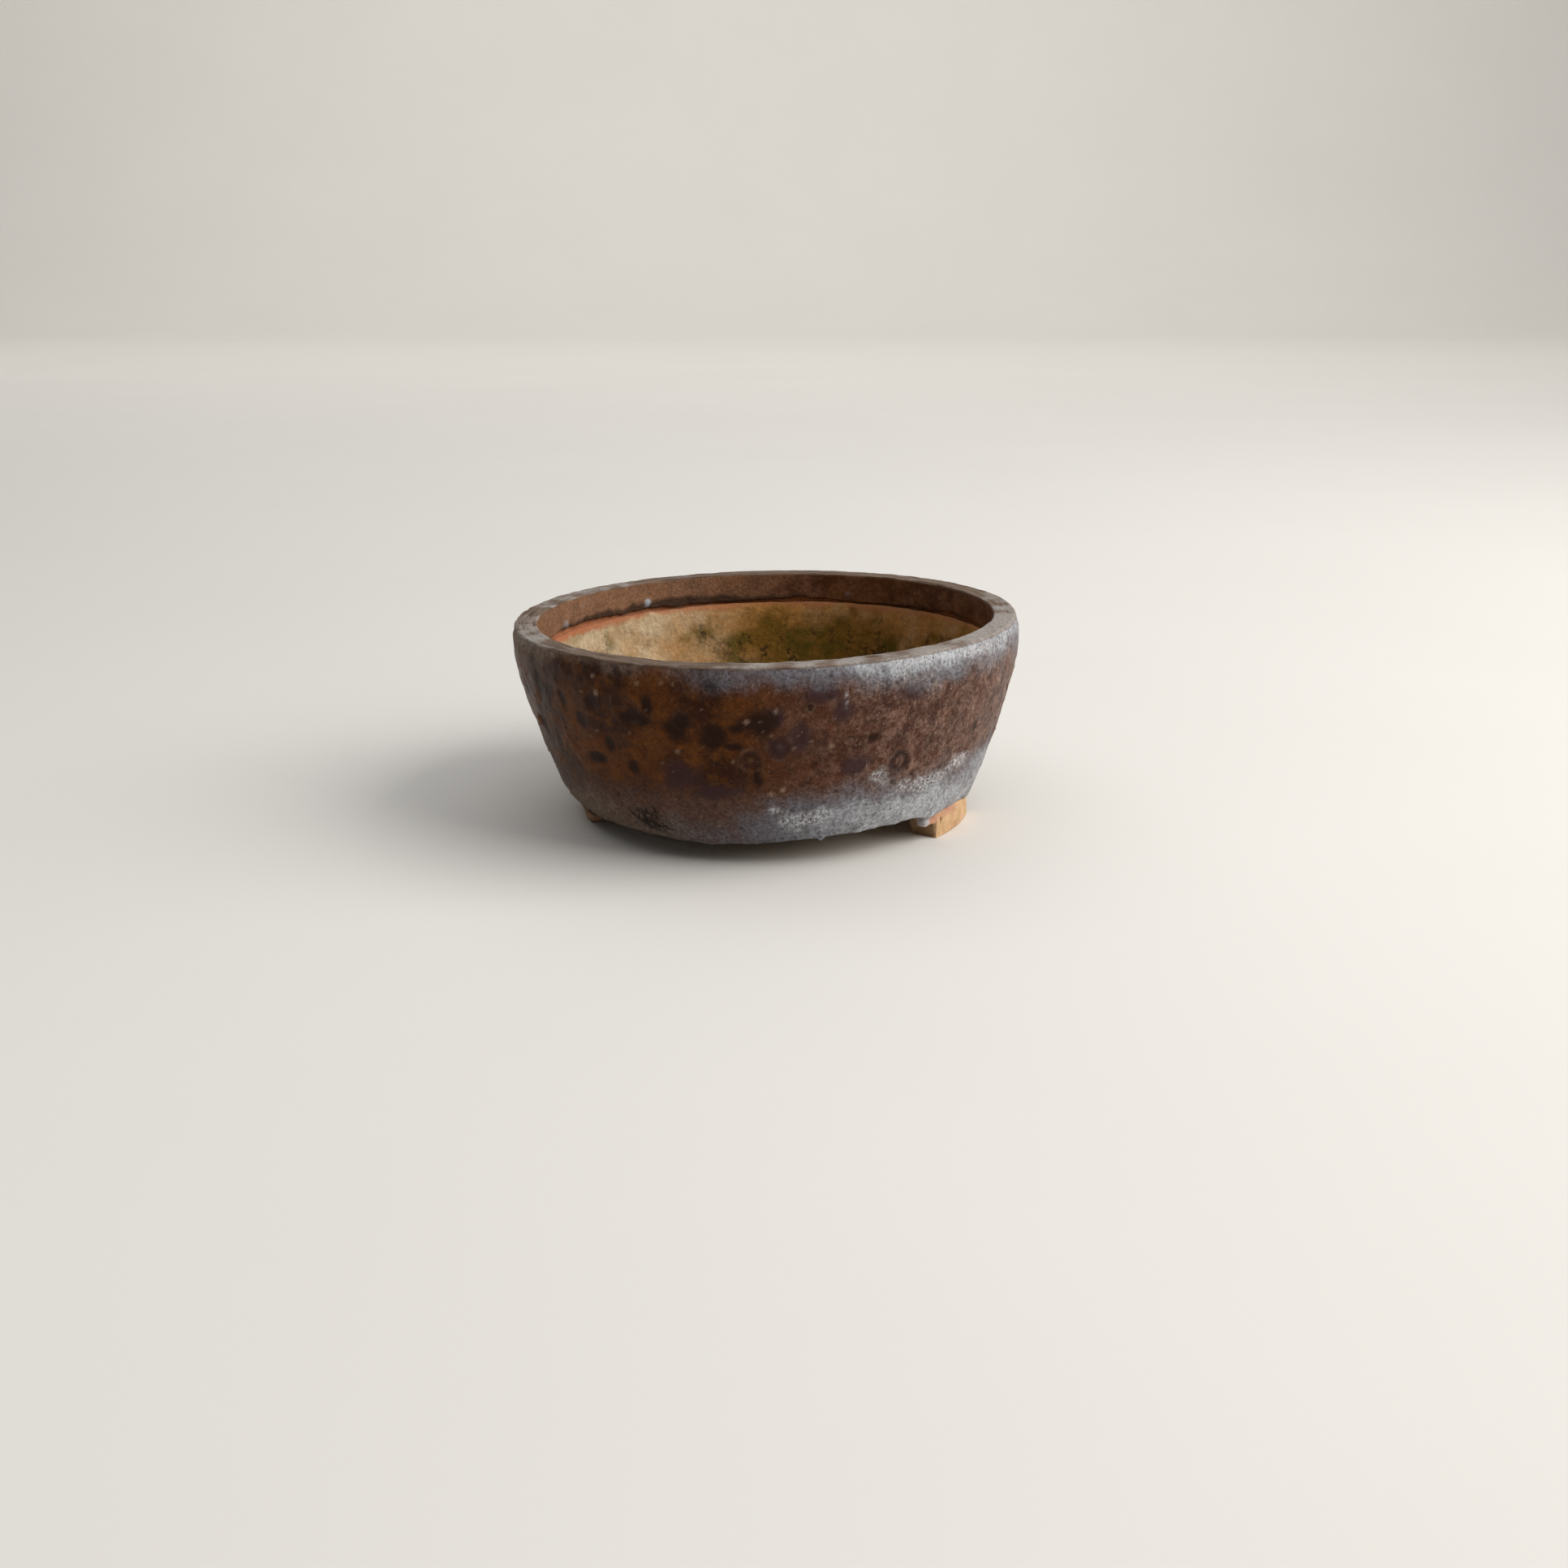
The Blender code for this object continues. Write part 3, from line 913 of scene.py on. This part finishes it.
def outside_colour(look):
    """Amber left, red-brown right with dust and painted sheen, matt brown low down, dark marks and painted
    glints.
    """
    streak = look.noise(0.8, 5, 0.75, (1, 1, 0.75))
    colour = look.mix(look.between(look.broad, 0.40, 0.60), (0.030, 0.006, 0.001), (0.098, 0.026, 0.002))
    colour = look.mix(look.times(look.between(look.mottle, 0.42, 0.66), 0.7), colour, (0.135, 0.045, 0.007))
    colour = look.mix(look.times(look.between(look.right, 0.68, 0.84), 0.5), colour, (0.046, 0.016, 0.012))
    # Dust and painted sheen: the right side is paled to grey-pink, partly for the light that falls there.
    dusty = look.mix(look.between(streak, 0.36, 0.64), (0.066, 0.022, 0.014), (0.255, 0.150, 0.112))
    dust_and_sheen = look.between(look.plus(look.fine, look.mottle), 0.64, 1.22)
    dust_and_sheen = look.times(look.times(look.between(look.right, 0.70, 1.02), dust_and_sheen), 0.92)
    colour = look.mix(dust_and_sheen, colour, dusty)
    colour = look.scaled(colour, look.plus(look.times(look.grain, 0.8), 0.6))
    matt = look.mix(look.grain, (0.066, 0.037, 0.029), (0.158, 0.098, 0.080))
    colour = look.mix(look.times(look.low, 0.8), colour, matt)
    for mark, strength, tint in (
        ("plum", 0.80, (0.034, 0.016, 0.022)),
        ("dark", 0.95, (0.012, 0.002, 0.001)),
        ("ring", 0.92, (0.024, 0.010, 0.010)),
    ):
        colour = look.mix(look.times(look.mark(mark), strength), colour, tint)
    # Painted highlights: pale specks on the right side stand in for glints.
    return look.mix(look.times(look.specks, look.between(look.right, 0.5, 1.1)), colour, (0.50, 0.42, 0.36))


def bloom_colour(look):
    """Pale ash: brownish on the left, blue-grey in the middle, nearly white where thickest on the right,
    partly painted reflection.
    """
    pale = look.mix(look.between(look.right, 0.80, 1.0), (0.160, 0.174, 0.206), (0.262, 0.268, 0.290))
    pale = look.mix(look.between(look.right, 0.42, 0.72), (0.240, 0.180, 0.140), pale)
    # Near-white on the right where the ash is thick, partly a painted reflection of the window.
    thick_ash_and_sheen = look.between(look.plus(look.bloom, look.times(look.veil, 0.9)), 1.10, 1.50)
    pale = look.mix(look.times(thick_ash_and_sheen, look.between(look.right, 0.7, 0.95)), pale, (0.46, 0.475, 0.50))
    return look.scaled(pale, look.plus(look.times(look.grain, 0.8), 0.6))


def lip_colour(look):
    """Worn lip: brown lines that run around the pot, with chalky ash over them."""
    sides = look.add("ShaderNodeSeparateXYZ", {"Vector": look.place}).outputs
    stretched = {
        "X": look.times(look.mark("radius_mm"), 3.2),
        "Y": look.times(sides["X"], 160.0),
        "Z": look.times(sides["Y"], 160.0),
    }
    lines = look.add("ShaderNodeCombineXYZ", stretched).outputs["Vector"]
    settings = {"Vector": lines, "Scale": 1.0, "Detail": 4.0}
    brushed = look.add("ShaderNodeTexNoise", settings).outputs["Fac"]
    worn = look.mix(look.between(brushed, 0.36, 0.62), (0.085, 0.052, 0.033), (0.215, 0.152, 0.114))
    chalk = look.mix(look.grain, (0.25, 0.220, 0.190), (0.43, 0.400, 0.370))
    ash = look.between(look.plus(look.mark("rim_ash"), look.times(brushed, 0.5)), 0.45, 1.05)
    return look.mix(ash, worn, chalk)


def band_colour(look):
    """Glazed band inside: red-brown, dusty on the left, with soot along its end."""
    band = look.mix(look.between(look.mottle, 0.32, 0.72), (0.085, 0.032, 0.015), (0.225, 0.105, 0.056))
    band = look.mix(look.times(look.between(look.broad, 0.46, 0.62), 0.5), band, (0.190, 0.072, 0.018))
    band = look.mix(look.times(look.between(look.right, 0.40, 0.0), 0.5), band, (0.340, 0.190, 0.115))
    band = look.scaled(band, look.plus(look.times(look.grain, 0.6), 0.7))
    band = look.mix(look.times(look.mark("soot"), 0.88), band, (0.026, 0.014, 0.010))
    return look.mix(look.mark("frosted"), band, (0.42, 0.47, 0.53))


def glaze_material():
    """The whole glaze: the outside, its bloom and small marks, the lip and the band inside."""
    look = GlazeLook()
    colour = outside_colour(look)

    cover = look.plus(look.times(look.veil, 0.55), look.times(look.fine, 0.45))
    ash = look.times(look.between(look.plus(cover, look.times(look.bloom, 0.85)), 0.56, 1.42), 0.94)
    colour = look.mix(ash, colour, bloom_colour(look))
    crackle = look.mark("crackle")
    frost = look.times(crackle, look.between(look.noise(0.24, 4, 0.8), 0.40, 0.62))
    colour = look.mix(frost, colour, (0.62, 0.62, 0.63))
    crazed = look.times(crackle, look.between(look.noise(0.16, 3, 0.8), 0.45, 0.38))
    grit = look.plus(crazed, look.times(ash, look.dots(0.9, 0.24, 0.3)))
    colour = look.mix(grit, colour, (0.016, 0.012, 0.012))
    colour = look.mix(look.times(look.mark("bead"), 0.6), colour, (0.34, 0.23, 0.16))
    colour = look.mix(look.times(look.mark("pit"), 0.6), colour, (0.014, 0.008, 0.007))
    colour = look.mix(look.times(look.mark("lip"), 0.95), colour, lip_colour(look))
    colour = look.mix(look.mark("band"), colour, band_colour(look))
    look.connect(colour, look.shader.inputs["Base Color"])

    rough = look.mix_value(look.between(look.mottle, 0.3, 0.7), 0.30, 0.46)
    rough = look.mix_value(look.times(look.low, 0.7), rough, 0.62)
    rough = look.mix_value(ash, rough, 0.80)
    rough = look.mix_value(look.mark("lip"), rough, 0.62)
    look.connect(rough, look.shader.inputs["Roughness"])
    look.shader.inputs["Specular IOR Level"].default_value = 0.18
    look.shader.inputs["Specular Tint"].default_value = (1.0, 0.68, 0.48, 1.0)
    relief = look.plus(look.times(look.mottle, 0.8), look.times(look.specks, 0.5))
    look.bump(look.plus(look.times(look.fine, 0.8), relief), 0.28)
    return look.material


def inner_clay_material():
    """Bare clay with soil, moss and dark specks, flushed red next to the glaze."""
    look = Look("stained_clay")
    moss, soil = look.mark("moss"), look.mark("soil")
    below = look.mark("below_glaze")
    mottle = look.noise(1.5, 5, 0.7)
    smudge = look.noise(1.6, 5, 0.7, (1, 1, 0.45))
    fine = look.noise(0.35, 5, 0.75)
    colour = look.mix(look.between(mottle, 0.3, 0.7), (0.465, 0.330, 0.190), (0.640, 0.495, 0.320))
    deep_earth = look.mix(mottle, (0.105, 0.062, 0.028), (0.260, 0.165, 0.085))
    earth = look.mix(look.between(below, 9.0, 14.0), (0.430, 0.205, 0.052), deep_earth)
    colour = look.mix(look.times(soil, look.between(mottle, 0.15, 0.50)), colour, earth)
    darkening = look.mix(look.between(look.noise(3.0), 0.4, 0.6), (0.190, 0.098, 0.013), (0.100, 0.070, 0.007))
    colour = look.mix(look.times(moss, look.between(smudge, 0.25, 0.50)), colour, darkening)
    specks = look.between(look.plus(look.times(fine, 0.6), look.times(smudge, 1.2)), 0.86, 0.72)
    specks = look.times(look.times(specks, look.plus(moss, 0.05)), 0.85)
    colour = look.mix(specks, colour, (0.034, 0.019, 0.002))
    colour = look.scaled(colour, look.plus(look.times(look.between(fine, 0.3, 0.7), 0.4), 0.8))
    glow = look.between(look.plus(below, look.times(mottle, 1.6)), 2.5, 1.5)
    colour = look.mix(look.times(glow, look.mark("flash")), colour, (0.430, 0.150, 0.066))
    look.connect(colour, look.shader.inputs["Base Color"])
    look.connect(look.mix_value(moss, 0.82, 0.95), look.shader.inputs["Roughness"])
    look.shader.inputs["Specular IOR Level"].default_value = 0.2
    look.bump(look.plus(fine, look.times(mottle, 0.8)), 0.28)
    return look.material


def foot_material():
    """Buff clay, flushed pink near the pot, with painted shade, a dark crack and a bead of glaze."""
    look = Look("foot_clay")
    mottle = look.noise(1.2, 4, 0.6)
    fine = look.noise(0.22, 4, 0.7)
    colour = look.mix(look.between(mottle, 0.3, 0.7), (0.520, 0.310, 0.155), (0.690, 0.455, 0.255))
    colour = look.mix(look.times(look.between(fine, 0.56, 0.68), 0.6), colour, (0.26, 0.15, 0.07))
    colour = look.mix(look.times(look.mark("flush"), 0.92), colour, (0.520, 0.225, 0.165))
    # Painted shade: dark brown mixed in under the lobe and over the shaded feet. It also darkens the crack.
    painted_shade = look.mix(fine, (0.045, 0.018, 0.008), (0.125, 0.060, 0.028))
    colour = look.mix(look.mark("darkening"), colour, painted_shade)
    ash = look.mix(fine, (0.30, 0.28, 0.29), (0.56, 0.55, 0.57))
    colour = look.mix(look.mark("glazed"), colour, ash)
    look.connect(colour, look.shader.inputs["Base Color"])
    look.connect(look.mix_value(look.mark("glazed"), 0.8, 0.4), look.shader.inputs["Roughness"])
    look.shader.inputs["Specular IOR Level"].default_value = 0.3
    look.bump(look.plus(fine, mottle), 0.16, 0.9)
    return look.material


def root_material():
    look = Look("dried_root")
    colour = look.mix(look.noise(0.5), (0.006, 0.003, 0.002), (0.035, 0.018, 0.010))
    look.connect(colour, look.shader.inputs["Base Color"])
    look.shader.inputs["Roughness"].default_value = 0.8
    return look.material


def stage_material():
    look = Look("pale_floor")
    colour = look.mix(look.noise(60.0), (0.77, 0.745, 0.70), (0.81, 0.785, 0.74))
    look.connect(colour, look.shader.inputs["Base Color"])
    look.shader.inputs["Roughness"].default_value = 0.85
    return look.material


# ---------------------------------------------------------------- stage, light and camera


def make_stage():
    """Pale floor that curves up into a backdrop far behind the pot."""
    near, far, bend, top, half = -1.5, 1.6, 0.5, 2.6, 3.0
    rise = [(far + bend * math.sin(t), bend * (1 - math.cos(t))) for t in np.linspace(0, math.pi / 2, 13)]
    section = [(near, 0.0), *rise, (far + bend, top)]
    points = np.array([(x, y, z) for y, z in section for x in (-half, half)])
    faces = np.array([(2 * i, 2 * i + 1, 2 * i + 3, 2 * i + 2) for i in range(len(section) - 1)])
    floor = mesh_piece("stage_floor", points, faces)
    floor.data.materials.append(stage_material())


def add_light(name, place, target, size, power, colour):
    light = bpy.data.lights.new(name, "AREA")
    light.shape = "RECTANGLE"
    light.size, light.size_y = size
    light.energy = power
    light.color = colour
    holder = bpy.data.objects.new(name, light)
    holder.location = place
    aim = bpy.data.objects.new(name + "_aim", None)
    aim.location = target
    for item in (holder, aim):
        bpy.context.collection.objects.link(item)
    track = holder.constraints.new("TRACK_TO")
    track.target = aim
    track.track_axis, track.up_axis = "TRACK_NEGATIVE_Z", "UP_Y"


def light_scene():
    """Window on the right, a ceiling panel, and a lamp high in front of the backdrop."""
    pot, backdrop = (0, 0, 0.02), (0, 2.0, 0.45)
    warm, cool = (1.0, 0.98, 0.95), (0.97, 0.98, 1.0)
    add_light("window", (0.60, -0.14, 0.46), pot, (0.7, 0.6), 6.4, warm)
    add_light("ceiling", (-0.05, 0.15, 0.85), pot, (1.4, 1.2), 4.2, cool)
    add_light("backdrop", (0, 1.0, 1.2), backdrop, (2.4, 0.8), 16.0, warm)
    world = bpy.data.worlds.new("studio")
    world.use_nodes = True
    background = world.node_tree.nodes["Background"]
    background.inputs["Color"].default_value = (0.95, 0.97, 1.0, 1.0)
    background.inputs["Strength"].default_value = 0.16
    bpy.context.scene.world = world
    bpy.context.scene.view_settings.view_transform = "Standard"


def make_camera():
    """Low in front, a little over a pot's width above the table, looking down at 16.5 degrees."""
    data = bpy.data.cameras.new("camera")
    data.sensor_width = 36.0
    data.lens = 41.24
    data.clip_start = 0.01
    camera = bpy.data.objects.new("camera", data)
    camera.location = (0.00275, -0.27195, 0.0836)
    camera.rotation_euler = (math.radians(90 - 16.53), 0, 0)
    bpy.context.collection.objects.link(camera)
    bpy.context.scene.camera = camera


make_camera()
make_glaze()
make_wall()
make_floor()
foot_look = foot_material()
for order, foot_node in enumerate(FEET):
    make_foot(foot_node, foot_look, seed=200 + 20 * order)
make_roots()
make_stage()
light_scene()
